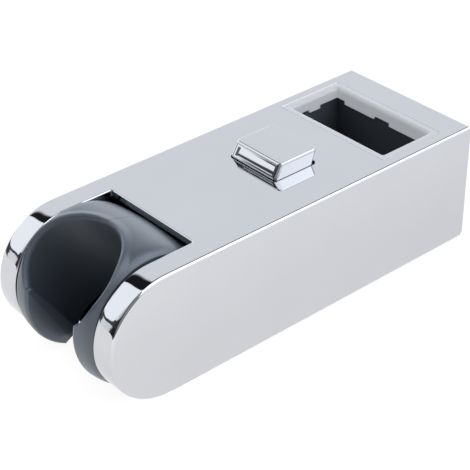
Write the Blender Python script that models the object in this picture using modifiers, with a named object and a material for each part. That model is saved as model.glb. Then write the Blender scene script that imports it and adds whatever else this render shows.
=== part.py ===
"""Shower rail slider: a chromed body that slides on a flat 30 x 15 mm rail and carries
a tilting holder for the hand shower.

The rail passes upwards through two white liners and a dark inner frame. A spring pushes
a brake shoe against the rail, and pressing the button wedges the shoe back. The holder
is a barrel with a conical bore and a slot for the hose. It turns on two short trunnions
in bushes in the body's cheeks.

Metres, +Z up along the rail, +X towards the rail end, origin below the middle of the part.
"""
import math

import bmesh
import bpy
from mathutils import Matrix, Vector

MM = 0.001
GAP = 0.3 * MM

# Body: a moulded shell, open below, with a half-round nose that splits into two cheeks
PIVOT_FROM_REAR = 92.5 * MM
LINER_TO_SIDE = 3.0 * MM
CHEEK_THICKNESS = 6.1 * MM
BARREL_PROUD = 1.4 * MM
WALL = 2.2 * MM
RIM_WALL = 1.0 * MM
REAR_RIM_WALL = 1.6 * MM
EDGE_ROUND = 0.5 * MM
REAR_TOP_ROUND = 0.8 * MM
REAR_BASE_ROUND = 1.5 * MM
NOSE_SEGMENTS = 36

# Bay between the cheeks, closed behind by a bulkhead and roofed up to the top cut-out
BAY_BEHIND_BARREL = 10.0 * MM
CUTOUT_BEHIND_PIVOT = 12.0 * MM
CUTOUT_CORNER = 0.7 * MM

# Rail passage and its liners
RAIL_OPENING_WIDTH = 30.0 * MM
RAIL_OPENING_DEPTH = 15.0 * MM
RAIL_FROM_REAR = 17.4 * MM
LINER_WALL = 2.0 * MM
LINER_HEIGHT = 2.7 * MM
LINER_TAB_LENGTH = 0.9 * MM
LINER_TAB_THICKNESS = 1.0 * MM
LONG_TAB_FROM = 2.6 * MM
LONG_TAB_TO = 12.4 * MM
SHORT_TAB_WIDTH = 3.4 * MM

# Base cover, screwed to four bosses
COVER_THICKNESS = 2.0 * MM
SCREW_INSET_REAR = 4.9 * MM
SCREW_INSET_FRONT = 3.6 * MM
SCREW_FROM_SIDE = 7.0 * MM
BOSS_RADIUS = 2.4 * MM
SCREW_RADIUS = 1.0 * MM
SCREW_LENGTH = 11.0 * MM
SCREW_HEAD_RADIUS = 1.75 * MM
SCREW_HEAD_HEIGHT = 1.1 * MM
COVER_PAD_HEIGHT = 1.3 * MM

# Inner frame: the tube round the rail and the channel that guides the brake slide
FRAME_WALL = 1.8 * MM
FRAME_SETBACK = 0.3 * MM
CHANNEL_FLOOR = 1.5 * MM
CHANNEL_WALL = 1.5 * MM
CHANNEL_LENGTH = 25.5 * MM
CHANNEL_LIP = 1.5 * MM
CHANNEL_LIP_FROM = 13.0 * MM
CHANNEL_LIP_LENGTH = 6.0 * MM

# Push button: a tapered cap with a framed finger recess, a flange and two wedge legs
BUTTON_FROM_REAR = 44.85 * MM
BUTTON_LENGTH = 11.1 * MM
BUTTON_WIDTH = 15.8 * MM
BUTTON_HEIGHT = 3.65 * MM
BUTTON_TOP_LENGTH = 10.1 * MM
BUTTON_TOP_WIDTH = 13.9 * MM
BUTTON_TOP_SHIFT = 1.3 * MM
BUTTON_EDGE_ROUND = 0.35 * MM
BUTTON_FRAME = 0.9 * MM
BUTTON_RECESS = 0.7 * MM
BUTTON_FLANGE = 1.5 * MM
BUTTON_FLANGE_LAP = 1.1 * MM
SLOT_FRONT_GAP = 0.7 * MM
SLOT_REAR_GAP = 1.1 * MM
LEG_WIDTH = 3.0 * MM
LEG_SPREAD = 6.5 * MM
LEG_TIP = 1.5 * MM
LEG_REAR_OFFSET = 4.3 * MM
WEDGE_SLOPE = 0.5
WEDGE_HEIGHT = 10.0 * MM
LEG_BOTTOM = 7.3 * MM

# Brake slide, its rubber pad and the two springs
SLIDE_WIDTH = 21.0 * MM
SLIDE_HEIGHT = 6.0 * MM
SLIDE_FROM_REAR = 30.0 * MM
SLIDE_TO_REAR = 54.0 * MM
SLIDE_WINDOW_WIDTH = 16.8 * MM
SLIDE_WINDOW_FROM_REAR = 37.0 * MM
SLIDE_NOTCH_WIDTH = 8.4 * MM
SLIDE_HEAD_THICKNESS = 1.8 * MM
SLIDE_HEAD_HEIGHT = 16.0 * MM
GUSSET_THICKNESS = 1.5 * MM
PAD_WIDTH = 15.4 * MM
PAD_HEIGHT = 12.0 * MM
PAD_BOTTOM = 7.0 * MM
PAD_REACH = 0.7 * MM
SPRING_WIRE = 0.45 * MM
SPIGOT_RADIUS = 2.0 * MM
SPRING_CLEARANCE = 0.4 * MM
SPIGOT_LENGTH = 2.8 * MM
BRAKE_SPRING_TURNS = 5
BUTTON_SPRING_TURNS = 6
CLOSE_PITCH = 1.15 * MM
STEPS_PER_TURN = 14
SPRING_POST_RADIUS = 3.6 * MM
SPRING_POST_HEIGHT = 8.0 * MM

# Holder: a barrel between the cheeks with an inclined conical bore and a hose slot
BARREL_EDGE_ROUND = 2.0 * MM
BARREL_FRONT_WALL = 2.1 * MM
BORE_TILT_DEG = 30.0
BORE_OFFSET = 2.6 * MM
BORE_TAPER = 0.9 * MM
LIP_RADIUS = 0.8 * MM
LIP_RISE = 0.8 * MM
LIP_REACH = 0.62 * MM
LIP_TO_BARREL_END = 0.2 * MM
BARREL_CUT_DEPTH = 7.3 * MM
HOSE_SLOT_SHOULDER = 3.8 * MM
HOLDER_STATIONS = 72
LIP_STEPS = 5
TOP_STEPS = 6
BASE_STEPS = 4

# Pivot: a trunnion on each side of the holder, its bush and a rubber friction ring
TRUNNION_RADIUS = 4.0 * MM
TRUNNION_LENGTH = 3.9 * MM
BUSH_WALL = 1.6 * MM
BUSH_LENGTH = 2.5 * MM
RING_WALL = 3.8 * MM
RING_THICKNESS = 1.2 * MM

# The rail's liner sets the body's width, and the space between the cheeks sets the holder
BODY_WIDTH = RAIL_OPENING_WIDTH + 2 * (LINER_WALL + LINER_TO_SIDE)
BAY_WIDTH = BODY_WIDTH - 2 * CHEEK_THICKNESS
BARREL_HALF_WIDTH = BAY_WIDTH / 2 - GAP
BORE_MOUTH_RADIUS = BARREL_HALF_WIDTH - 2 * LIP_RADIUS - LIP_TO_BARREL_END
BORE_END_RADIUS = BORE_MOUTH_RADIUS - BORE_TAPER
BARREL_RADIUS = BORE_MOUTH_RADIUS + BORE_OFFSET + BARREL_FRONT_WALL
BARREL_CUT_BELOW = BARREL_RADIUS - BARREL_CUT_DEPTH
HOSE_SLOT_WIDTH = 2 * (BORE_MOUTH_RADIUS - HOSE_SLOT_SHOULDER)
BODY_HEIGHT = 2 * (BARREL_RADIUS - BARREL_PROUD)
BAY_FROM_REAR = PIVOT_FROM_REAR - BARREL_RADIUS - BAY_BEHIND_BARREL
CUTOUT_FROM_REAR = PIVOT_FROM_REAR - CUTOUT_BEHIND_PIVOT
SCREW_SPREAD = BODY_WIDTH / 2 - SCREW_FROM_SIDE
NOSE_RADIUS = BODY_HEIGHT / 2
REAR_X = (PIVOT_FROM_REAR + BARREL_RADIUS + LIP_REACH) / 2
PIVOT = Vector((REAR_X - PIVOT_FROM_REAR, 0.0, NOSE_RADIUS))
HALF_WIDTH = BODY_WIDTH / 2
HALF_BAY = BAY_WIDTH / 2
FAR = 2 * BODY_WIDTH


def from_rear(distance):
    """X of a point that lies this far in front of the rail end."""
    return REAR_X - distance


def clear_scene():
    for obj in list(bpy.data.objects):
        bpy.data.objects.remove(obj, do_unlink=True)


def new_collection(name, shown=True):
    collection = bpy.data.collections.new(name)
    bpy.context.scene.collection.children.link(collection)
    collection.hide_render = not shown
    return collection


def finish_material(name, colour, roughness, metallic=0.0):
    material = bpy.data.materials.new(name)
    material.use_nodes = True
    shader = material.node_tree.nodes["Principled BSDF"]
    shader.inputs["Base Color"].default_value = (*colour, 1.0)
    shader.inputs["Roughness"].default_value = roughness
    shader.inputs["Metallic"].default_value = metallic
    material.diffuse_color = (*colour, 1.0)
    return material


def object_from_bmesh(name, bm, material=None):
    """A mesh object; without a material it is a cutter or a piece to be joined on."""
    bmesh.ops.recalc_face_normals(bm, faces=bm.faces)
    mesh = bpy.data.meshes.new(name)
    bm.to_mesh(mesh)
    bm.free()
    obj = bpy.data.objects.new(name, mesh)
    if material is None:
        TOOLS.objects.link(obj)
        obj.hide_render = True
        obj.display_type = "WIRE"
    else:
        PARTS.objects.link(obj)
        mesh.materials.append(material)
        mesh.shade_smooth()
        mesh.set_sharp_from_angle(angle=math.radians(35))
    return obj


def box(name, low, high, material=None):
    bm = bmesh.new()
    bmesh.ops.create_cube(bm, size=1.0)
    low, high = Vector(low), Vector(high)
    bmesh.ops.scale(bm, vec=high - low, verts=bm.verts)
    bmesh.ops.translate(bm, vec=(low + high) / 2, verts=bm.verts)
    return object_from_bmesh(name, bm, material)


def cylinder(name, centre, axis, radius, length, material=None, segments=32, end_radius=None):
    """A cylinder or cone that starts at centre and runs along axis."""
    bm = bmesh.new()
    bmesh.ops.create_cone(bm, cap_ends=True, segments=segments, radius1=radius,
                          radius2=radius if end_radius is None else end_radius, depth=length)
    turn = Vector((0, 0, 1)).rotation_difference(Vector(axis)).to_matrix().to_4x4()
    middle = Vector(centre) + Vector(axis) * length / 2
    bmesh.ops.transform(bm, matrix=Matrix.Translation(middle) @ turn, verts=bm.verts)
    return object_from_bmesh(name, bm, material)


def prism(name, outline, half_width, material=None, middle_y=0.0):
    """An (x, z) outline pulled out along Y to both sides of middle_y."""
    bm = bmesh.new()
    corners = [bm.verts.new((x, middle_y - half_width, z)) for x, z in outline]
    face = bm.faces.new(corners)
    pulled = bmesh.ops.extrude_face_region(bm, geom=[face])
    moved = [item for item in pulled["geom"] if isinstance(item, bmesh.types.BMVert)]
    bmesh.ops.translate(bm, vec=(0, 2 * half_width, 0), verts=moved)
    return object_from_bmesh(name, bm, material)


def boolean(obj, other, operation):
    modifier = obj.modifiers.new(other.name, "BOOLEAN")
    modifier.operation = operation
    modifier.object = other
    modifier.solver = "EXACT"


def cut(obj, *cutters):
    for cutter in cutters:
        boolean(obj, cutter, "DIFFERENCE")


def join(obj, *pieces):
    for piece in pieces:
        boolean(obj, piece, "UNION")


def round_edges(obj, width, segments=2, angle=50):
    modifier = obj.modifiers.new("rounding", "BEVEL")
    modifier.width = width
    modifier.segments = segments
    modifier.limit_method = "ANGLE"
    modifier.angle_limit = math.radians(angle)
    modifier.use_clamp_overlap = True


def arc(centre_x, centre_z, radius, start_deg, end_deg, segments):
    """Points of an arc in the (x, z) plane."""
    step = (end_deg - start_deg) / segments
    angles = [math.radians(start_deg + step * i) for i in range(segments + 1)]
    return [(centre_x + radius * math.cos(a), centre_z + radius * math.sin(a)) for a in angles]


def body_outline():
    """Side view of the body: flat faces, a half-round nose and rounded rear corners."""
    nose = arc(PIVOT.x, PIVOT.z, NOSE_RADIUS, 90, 270, NOSE_SEGMENTS)
    base = arc(REAR_X - REAR_BASE_ROUND, REAR_BASE_ROUND, REAR_BASE_ROUND, -90, 0, 4)
    top = arc(REAR_X - REAR_TOP_ROUND, BODY_HEIGHT - REAR_TOP_ROUND, REAR_TOP_ROUND, 0, 90, 3)
    return nose + base + top


def make_housing(material):
    """The chromed shell. The mechanism bay is open below, with a rabbet for the cover."""
    housing = prism("housing", body_outline(), HALF_WIDTH, material)
    round_edges(housing, EDGE_ROUND)

    roof = BODY_HEIGHT - WALL
    cover_seat = COVER_THICKNESS + GAP
    bulkhead_rear = from_rear(BAY_FROM_REAR - WALL)
    mechanism_bay = box("mechanism_bay", (bulkhead_rear, WALL - HALF_WIDTH, -FAR),
                        (from_rear(WALL), HALF_WIDTH - WALL, roof))
    rabbet = box("cover_rabbet",
                 (from_rear(BAY_FROM_REAR - RIM_WALL), RIM_WALL - HALF_WIDTH, -FAR),
                 (from_rear(REAR_RIM_WALL), HALF_WIDTH - RIM_WALL, cover_seat))
    holder_bay = box("holder_bay", (-FAR, -HALF_BAY, -FAR), (from_rear(BAY_FROM_REAR), HALF_BAY, roof))
    cutout = box("top_cutout", (-FAR, -HALF_BAY, 0), (from_rear(CUTOUT_FROM_REAR), HALF_BAY, FAR))
    round_edges(cutout, CUTOUT_CORNER, segments=3)
    cut(housing, mechanism_bay, rabbet, holder_bay, cutout)

    half_depth = RAIL_OPENING_DEPTH / 2 + LINER_WALL + GAP
    half_span = RAIL_OPENING_WIDTH / 2 + LINER_WALL + GAP
    rail_x = from_rear(RAIL_FROM_REAR)
    liner_seat = box("liner_seat", (rail_x - half_depth, -half_span, roof - WALL),
                     (rail_x + half_depth, half_span, FAR))
    front = from_rear(BUTTON_FROM_REAR) - BUTTON_LENGTH / 2 - SLOT_FRONT_GAP
    rear = from_rear(BUTTON_FROM_REAR) + BUTTON_LENGTH / 2 + SLOT_REAR_GAP
    button_slot = box("button_slot", (front, -BUTTON_WIDTH / 2 - GAP, roof - WALL),
                      (rear, BUTTON_WIDTH / 2 + GAP, FAR))
    round_edges(button_slot, EDGE_ROUND)
    cut(housing, liner_seat, button_slot)

    for side in (-1, 1):
        add_pivot_seat(housing, side)
    for number, (x, y) in enumerate(screw_places(), start=1):
        boss = cylinder(f"boss_{number}", (x, y, cover_top() + GAP), (0, 0, 1), BOSS_RADIUS,
                        roof - cover_top(), segments=20)
        pilot = cylinder(f"pilot_{number}", (x, y, 0), (0, 0, 1), SCREW_RADIUS + GAP,
                         SCREW_LENGTH + 2 * GAP, segments=16)
        join(housing, boss)
        cut(housing, pilot)
    spigot = cylinder("bulkhead_spigot", (bulkhead_rear - WALL / 2, 0, slide_middle()), (1, 0, 0),
                      SPIGOT_RADIUS, SPIGOT_LENGTH + WALL / 2, segments=20)
    join(housing, spigot)
    return housing


def add_pivot_seat(housing, side):
    """Blind hole for the bush and a counterbore for the friction ring."""
    face = Vector((PIVOT.x, side * (HALF_BAY - GAP), PIVOT.z))
    outward = (0, side, 0)
    ring_depth = RING_THICKNESS + 2 * GAP
    bush_depth = ring_depth + BUSH_LENGTH + GAP
    bore = TRUNNION_RADIUS + GAP
    name = "left" if side > 0 else "right"
    ring_seat = cylinder(f"ring_seat_{name}", face, outward, bore + RING_WALL + GAP, ring_depth)
    bush_seat = cylinder(f"bush_seat_{name}", face, outward, bore + BUSH_WALL + GAP, bush_depth)
    cut(housing, ring_seat, bush_seat)


def cover_top():
    """Height of the screw pads on the cover's inner face."""
    return COVER_THICKNESS + COVER_PAD_HEIGHT


def screw_places():
    front = from_rear(BAY_FROM_REAR - WALL - SCREW_INSET_FRONT)
    rear = from_rear(SCREW_INSET_REAR)
    return [(x, y) for x in (front, rear) for y in (-SCREW_SPREAD, SCREW_SPREAD)]


def make_base_cover(material):
    """Plate that closes the body below, flush with its rim."""
    rim = RIM_WALL + GAP
    cover = box("base_cover", (from_rear(BAY_FROM_REAR - rim), rim - HALF_WIDTH, 0),
                (from_rear(REAR_RIM_WALL + GAP), HALF_WIDTH - rim, COVER_THICKNESS), material)
    rail_x = from_rear(RAIL_FROM_REAR)
    half_depth = RAIL_OPENING_DEPTH / 2 + LINER_WALL + GAP
    half_span = RAIL_OPENING_WIDTH / 2 + LINER_WALL + GAP
    opening = box("cover_opening", (rail_x - half_depth, -half_span, -FAR),
                  (rail_x + half_depth, half_span, FAR))
    pads = [cylinder(f"cover_pad_{number}", (x, y, COVER_THICKNESS / 2), (0, 0, 1), BOSS_RADIUS,
                     COVER_THICKNESS / 2 + COVER_PAD_HEIGHT, segments=20)
            for number, (x, y) in enumerate(screw_places(), start=1)]
    join(cover, *pads)
    cut(cover, opening)
    for number, (x, y) in enumerate(screw_places(), start=1):
        cut(cover,
            cylinder(f"head_hole_{number}", (x, y, -GAP), (0, 0, 1), SCREW_HEAD_RADIUS + GAP,
                     SCREW_HEAD_HEIGHT + 3 * GAP, segments=20),
            cylinder(f"shank_hole_{number}", (x, y, -GAP), (0, 0, 1), SCREW_RADIUS + GAP,
                     cover_top() + 2 * GAP, segments=16))
    return cover


def make_screws(material):
    """Four pan-head screws, sunk just below the cover's outer face."""
    for number, (x, y) in enumerate(screw_places(), start=1):
        screw = cylinder(f"cover_screw_{number}", (x, y, GAP), (0, 0, 1), SCREW_HEAD_RADIUS,
                         SCREW_HEAD_HEIGHT, material, segments=20)
        shank = cylinder(f"shank_{number}", (x, y, GAP + SCREW_HEAD_HEIGHT / 2), (0, 0, 1),
                         SCREW_RADIUS, SCREW_LENGTH - SCREW_HEAD_HEIGHT, segments=16)
        join(screw, shank)


def liner_tabs():
    """Each tab as (half length along X, half length along Y, x, y) from the middle."""
    half_thickness = LINER_TAB_THICKNESS / 2
    side_x = RAIL_OPENING_DEPTH / 2 + half_thickness
    side_y = RAIL_OPENING_WIDTH / 2 + half_thickness
    tab_y = (LONG_TAB_FROM + LONG_TAB_TO) / 2
    half_tab = (LONG_TAB_TO - LONG_TAB_FROM) / 2
    long_tabs = [(half_thickness, half_tab, x, y) for x in (-side_x, side_x) for y in (-tab_y, tab_y)]
    return long_tabs + [(SHORT_TAB_WIDTH / 2, half_thickness, 0.0, y) for y in (-side_y, side_y)]


def make_liner(name, material, upwards):
    """White frame round the rail. Tabs on its inner edge key into the inner frame."""
    rail_x = from_rear(RAIL_FROM_REAR)
    outer_z = BODY_HEIGHT if upwards else 0.0
    inward = -1 if upwards else 1

    def between(half_x, half_y, x, y, start, end):
        z = sorted((outer_z + inward * start, outer_z + inward * end))
        return (rail_x + x - half_x, y - half_y, z[0]), (rail_x + x + half_x, y + half_y, z[1])

    half_x = RAIL_OPENING_DEPTH / 2 + LINER_WALL
    half_y = RAIL_OPENING_WIDTH / 2 + LINER_WALL
    liner = box(name, *between(half_x, half_y, 0, 0, 0, LINER_HEIGHT), material)
    for number, (tab_x, tab_y, x, y) in enumerate(liner_tabs(), start=1):
        join(liner, box(f"{name}_tab_{number}", *between(tab_x, tab_y, x, y, LINER_HEIGHT / 2,
                                                         LINER_HEIGHT + LINER_TAB_LENGTH)))
    hole = box(f"{name}_hole", *between(RAIL_OPENING_DEPTH / 2, RAIL_OPENING_WIDTH / 2, 0, 0, -WALL, 3 * WALL))
    round_edges(hole, EDGE_ROUND)
    cut(liner, hole)
    return liner


def channel_floor_top():
    return COVER_THICKNESS + GAP + CHANNEL_FLOOR


def slide_bottom():
    return channel_floor_top() + GAP


def slide_middle():
    return slide_bottom() + SLIDE_HEIGHT / 2


def make_inner_frame(material):
    """Dark moulding: the tube round the rail, keyed to both liners, and the slide's channel."""
    rail_x = from_rear(RAIL_FROM_REAR)
    inner_x = RAIL_OPENING_DEPTH / 2 + FRAME_SETBACK
    inner_y = RAIL_OPENING_WIDTH / 2 + FRAME_SETBACK
    low = LINER_HEIGHT + GAP
    high = BODY_HEIGHT - LINER_HEIGHT - GAP
    frame = box("inner_frame", (rail_x - inner_x - FRAME_WALL, -inner_y - FRAME_WALL, low),
                (rail_x + inner_x + FRAME_WALL, inner_y + FRAME_WALL, high), material)

    tube_front = rail_x - inner_x - FRAME_WALL
    channel_front = tube_front - CHANNEL_LENGTH
    half_inside = SLIDE_WIDTH / 2 + GAP
    half_outside = half_inside + CHANNEL_WALL
    floor = box("channel_floor", (channel_front, -half_outside, COVER_THICKNESS + GAP),
                (tube_front + FRAME_WALL / 2, half_outside, channel_floor_top()))
    join(frame, floor)
    lip_low = slide_bottom() + SLIDE_HEIGHT + GAP
    lip_front = tube_front - CHANNEL_LIP_FROM - CHANNEL_LIP_LENGTH
    for side in (-1, 1):
        inside, outside = sorted((side * half_inside, side * half_outside))
        wall = box(f"channel_wall_{side + 2}", (channel_front, inside, COVER_THICKNESS + GAP),
                   (tube_front + FRAME_WALL / 2, outside, lip_low + CHANNEL_LIP))
        lip_inside = side * (half_inside - CHANNEL_LIP)
        lip_y = sorted((lip_inside, side * half_outside))
        lip = box(f"channel_lip_{side + 2}", (lip_front, lip_y[0], lip_low),
                  (lip_front + CHANNEL_LIP_LENGTH, lip_y[1], lip_low + CHANNEL_LIP))
        join(frame, wall, lip)

    post_x = from_rear(BUTTON_FROM_REAR)
    post = cylinder("spring_post", (post_x, 0, channel_floor_top() - CHANNEL_FLOOR / 2), (0, 0, 1),
                    SPRING_POST_RADIUS, CHANNEL_FLOOR / 2 + SPRING_POST_HEIGHT, segments=24)
    spigot = cylinder("post_spigot", (post_x, 0, channel_floor_top()), (0, 0, 1), SPIGOT_RADIUS,
                      SPRING_POST_HEIGHT + SPIGOT_LENGTH, segments=20)
    join(frame, post, spigot)

    passage = box("rail_passage", (rail_x - inner_x, -inner_y, -FAR), (rail_x + inner_x, inner_y, FAR))
    window = box("pad_window", (tube_front - GAP, -PAD_WIDTH / 2 - GAP, PAD_BOTTOM - GAP),
                 (rail_x, PAD_WIDTH / 2 + GAP, PAD_BOTTOM + PAD_HEIGHT + GAP))
    half_depth = RAIL_OPENING_DEPTH / 2 + LINER_WALL + GAP
    relief = box("liner_relief", (rail_x - half_depth, -BODY_WIDTH, -FAR),
                 (rail_x + half_depth, BODY_WIDTH, low))
    cut(frame, passage, window, relief)
    for number, (tab_x, tab_y, x, y) in enumerate(liner_tabs(), start=1):
        size_x, size_y = tab_x + GAP, tab_y + GAP
        for end, z in (("low", low), ("high", high)):
            cut(frame, box(f"key_{end}_{number}",
                           (rail_x + x - size_x, y - size_y, z - LINER_TAB_LENGTH),
                           (rail_x + x + size_x, y + size_y, z + LINER_TAB_LENGTH)))
    return frame


def wedge_front(height, clearance=0.0):
    """X of the wedge's sloping front face at this height, or of a face that runs beside it."""
    tip_front = from_rear(BUTTON_FROM_REAR) + LEG_REAR_OFFSET - LEG_TIP
    rise = min(max(height - LEG_BOTTOM, -WEDGE_HEIGHT), WEDGE_HEIGHT)
    return tip_front - WEDGE_SLOPE * rise - clearance


def make_push_button(material):
    """Cap that tapers and leans towards the rail, on a flange, with two legs as wedges."""
    middle = from_rear(BUTTON_FROM_REAR)
    flange_top = BODY_HEIGHT - WALL - GAP
    flange_bottom = flange_top - BUTTON_FLANGE
    bm = bmesh.new()
    bmesh.ops.create_cube(bm, size=1.0)
    bmesh.ops.scale(bm, vec=(BUTTON_LENGTH, BUTTON_WIDTH, BODY_HEIGHT - flange_bottom), verts=bm.verts)
    bmesh.ops.translate(bm, vec=(middle, 0, (BODY_HEIGHT + flange_bottom) / 2), verts=bm.verts)
    bm.faces.ensure_lookup_table()
    top = max(bm.faces, key=lambda face: face.calc_center_median().z)
    grown = bmesh.ops.extrude_face_region(bm, geom=[top])
    rim = [item for item in grown["geom"] if isinstance(item, bmesh.types.BMVert)]
    bmesh.ops.delete(bm, geom=[top], context="FACES_ONLY")
    to_centre = Matrix.Translation((-middle, 0, 0))
    bmesh.ops.scale(bm, vec=(BUTTON_TOP_LENGTH / BUTTON_LENGTH, BUTTON_TOP_WIDTH / BUTTON_WIDTH, 1),
                    verts=rim, space=to_centre)
    bmesh.ops.translate(bm, vec=(BUTTON_TOP_SHIFT, 0, BUTTON_HEIGHT), verts=rim)
    bm.normal_update()
    finger_face = min((face for face in bm.faces if face.calc_center_median().z > BODY_HEIGHT),
                      key=lambda face: face.calc_center_median().x)
    bmesh.ops.inset_individual(bm, faces=[finger_face], thickness=BUTTON_FRAME, depth=-BUTTON_RECESS)
    button = object_from_bmesh("push_button", bm, material)
    round_edges(button, BUTTON_EDGE_ROUND, angle=20)

    slot_front = middle - BUTTON_LENGTH / 2 - SLOT_FRONT_GAP
    slot_rear = middle + BUTTON_LENGTH / 2 + SLOT_REAR_GAP
    half_flange = BUTTON_WIDTH / 2 + GAP + BUTTON_FLANGE_LAP
    flange = box("button_flange", (slot_front - BUTTON_FLANGE_LAP, -half_flange, flange_bottom),
                 (slot_rear + BUTTON_FLANGE_LAP, half_flange, flange_top))
    join(button, flange)
    leg_rear = middle + LEG_REAR_OFFSET
    outline = [(leg_rear, LEG_BOTTOM), (leg_rear, flange_top - BUTTON_FLANGE / 2),
               (wedge_front(LEG_BOTTOM + WEDGE_HEIGHT), flange_top - BUTTON_FLANGE / 2),
               (wedge_front(LEG_BOTTOM + WEDGE_HEIGHT), LEG_BOTTOM + WEDGE_HEIGHT),
               (wedge_front(LEG_BOTTOM), LEG_BOTTOM)]
    for side in (-1, 1):
        join(button, prism(f"leg_{side + 2}", outline, LEG_WIDTH / 2, middle_y=side * LEG_SPREAD))
    spigot = cylinder("button_spigot", (middle, 0, flange_top - BUTTON_FLANGE / 2), (0, 0, -1),
                      SPIGOT_RADIUS, SPIGOT_LENGTH + BUTTON_FLANGE / 2, segments=20)
    join(button, spigot)
    return button


def make_brake_slide(material):
    """Carrier of the pad. The legs' wedges push on the sloping ends of its window."""
    low = slide_bottom()
    high = low + SLIDE_HEIGHT
    front = from_rear(SLIDE_TO_REAR)
    rear = from_rear(SLIDE_FROM_REAR)
    slide = box("brake_slide", (front, -SLIDE_WIDTH / 2, low), (rear, SLIDE_WIDTH / 2, high), material)
    head = box("slide_head", (rear - GAP, -PAD_WIDTH / 2, low),
               (rear + SLIDE_HEAD_THICKNESS, PAD_WIDTH / 2, low + SLIDE_HEAD_HEIGHT))
    join(slide, head)
    gusset_length = SLIDE_WINDOW_FROM_REAR - SLIDE_FROM_REAR - SLIDE_HEAD_THICKNESS
    gusset = [(rear + GAP, high - GAP), (rear + GAP, low + SLIDE_HEAD_HEIGHT - SLIDE_HEAD_THICKNESS),
              (rear - gusset_length, high), (rear - gusset_length, high - GAP)]
    for side in (-1, 1):
        y = side * (PAD_WIDTH / 2 - GUSSET_THICKNESS)
        join(slide, prism(f"gusset_{side + 2}", gusset, GUSSET_THICKNESS / 2, middle_y=y))

    window_rear = from_rear(SLIDE_WINDOW_FROM_REAR)
    below, above = low - GAP, high + GAP
    window = prism("slide_window", [(window_rear, below), (window_rear, above),
                                    (wedge_front(above, GAP), above), (wedge_front(below, GAP), below)],
                   SLIDE_WINDOW_WIDTH / 2)
    notch_front = from_rear(BUTTON_FROM_REAR) - SPRING_POST_RADIUS - 2 * GAP
    notch = box("slide_notch", (notch_front, -SLIDE_NOTCH_WIDTH / 2, below),
                (window_rear, SLIDE_NOTCH_WIDTH / 2, above))
    cut(slide, window, notch)
    spigot = cylinder("slide_spigot", (front + GAP, 0, slide_middle()), (-1, 0, 0), SPIGOT_RADIUS,
                      SPIGOT_LENGTH + GAP, segments=20)
    join(slide, spigot)
    return slide


def make_brake_pad(material):
    """Rubber block that stands a little proud of the rail passage's front wall."""
    back = from_rear(SLIDE_FROM_REAR) + SLIDE_HEAD_THICKNESS + GAP
    face = from_rear(RAIL_FROM_REAR) - RAIL_OPENING_DEPTH / 2 + PAD_REACH
    pad = box("brake_pad", (back, -PAD_WIDTH / 2, PAD_BOTTOM),
              (face, PAD_WIDTH / 2, PAD_BOTTOM + PAD_HEIGHT), material)
    round_edges(pad, EDGE_ROUND)
    return pad


def make_spring(name, start, axis, length, turns, material):
    """Compression spring: a wire on a helix whose first and last turns lie close."""
    radius = SPIGOT_RADIUS + SPRING_CLEARANCE + SPRING_WIRE
    travel = length - 2 * SPRING_WIRE
    open_pitch = (travel - 2 * CLOSE_PITCH) / (turns - 2)
    turn = Vector((0, 0, 1)).rotation_difference(Vector(axis)).to_matrix()
    curve = bpy.data.curves.new(name, "CURVE")
    curve.dimensions = "3D"
    curve.bevel_depth = SPRING_WIRE
    curve.bevel_resolution = 1
    curve.use_fill_caps = True
    spline = curve.splines.new("POLY")
    spline.points.add(turns * STEPS_PER_TURN)
    for step, place in enumerate(spline.points):
        done = step / STEPS_PER_TURN
        rise = CLOSE_PITCH * min(done, 1.0) + open_pitch * min(max(done - 1.0, 0.0), turns - 2.0)
        rise += CLOSE_PITCH * max(done - turns + 1.0, 0.0) + SPRING_WIRE
        angle = 2 * math.pi * done
        local = Vector((radius * math.cos(angle), radius * math.sin(angle), rise))
        place.co = (*(Vector(start) + turn @ local), 1.0)
    curve.materials.append(material)
    PARTS.objects.link(bpy.data.objects.new(name, curve))


def barrel_radius(y):
    """The barrel's radius, reduced near its rounded ends."""
    inner = BARREL_HALF_WIDTH - BARREL_EDGE_ROUND
    past = min(max(abs(y) - inner, 0.0), BARREL_EDGE_ROUND)
    return BARREL_RADIUS - BARREL_EDGE_ROUND + math.sqrt(BARREL_EDGE_ROUND ** 2 - past ** 2)


def farthest(start, inside):
    """The largest distance from the bore's axis for which inside still holds."""
    low, high = start, start + BARREL_RADIUS
    if not inside(low):
        return low
    for _ in range(30):
        middle = (low + high) / 2
        if inside(middle):
            low = middle
        else:
            high = middle
    return low


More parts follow.
